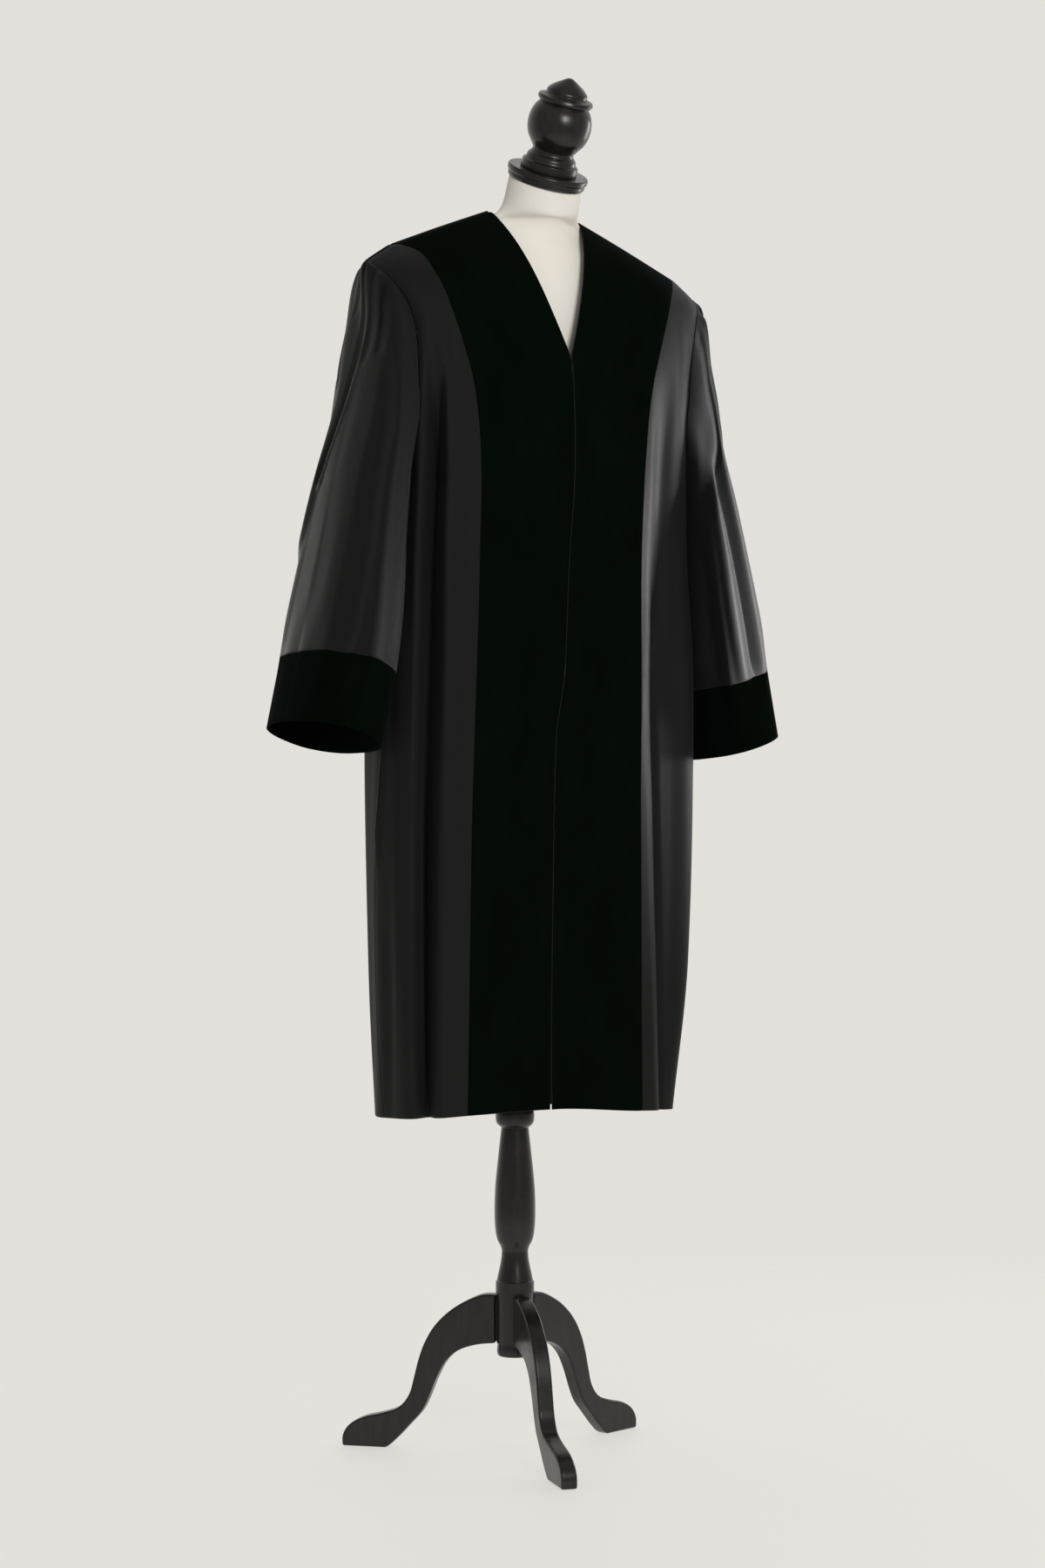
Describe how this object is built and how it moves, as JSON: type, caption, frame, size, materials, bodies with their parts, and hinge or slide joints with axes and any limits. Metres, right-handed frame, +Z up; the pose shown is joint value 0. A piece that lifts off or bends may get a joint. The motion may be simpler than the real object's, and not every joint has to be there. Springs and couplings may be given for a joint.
{
  "type": "prosecutor robe on a dress form stand",
  "caption": "Open-front court robe in fine black wool with velvet bands, yoke and cuffs, standing on a limbless dress form with a turned tripod stand.",
  "frame": {"origin": "on the floor under the middle of the whole object's bounding box", "axes": "+Z up; the robe's front faces -Y; +X is the wearer's left"},
  "size_m": [0.658, 0.3772, 1.6827],
  "materials": {
    "velvet_front_right": "black velvet, deep matt pile",
    "velvet_front_left": "black velvet, deep matt pile",
    "velvet_yoke_back": "black velvet, deep matt pile",
    "front_right": "fine black wool, soft low sheen",
    "front_left": "fine black wool, soft low sheen",
    "back": "fine black wool, soft low sheen",
    "sleeve_right": "fine black wool, soft low sheen",
    "sleeve_left": "fine black wool, soft low sheen",
    "cuff_right": "black velvet, deep matt pile",
    "cuff_left": "black velvet, deep matt pile",
    "form_torso": "cream cotton, matt",
    "finial": "black lacquer, glossy",
    "neck_plate": "black lacquer, glossy",
    "column": "black lacquer, glossy",
    "leg_front": "black lacquer, glossy",
    "leg_left": "black lacquer, glossy",
    "leg_right": "black lacquer, glossy"
  },
  "bodies": {
    "root": {"velvet_front_right": "velvet_front_right", "velvet_front_left": "velvet_front_left", "velvet_yoke_back": "velvet_yoke_back", "front_right": "front_right", "front_left": "front_left", "back": "back", "sleeve_right": "sleeve_right", "sleeve_left": "sleeve_left", "cuff_right": "cuff_right", "cuff_left": "cuff_left", "form_torso": "form_torso", "finial": "finial", "neck_plate": "neck_plate", "column": "column", "leg_front": "leg_front", "leg_left": "leg_left", "leg_right": "leg_right"}
  },
  "joints": []
}
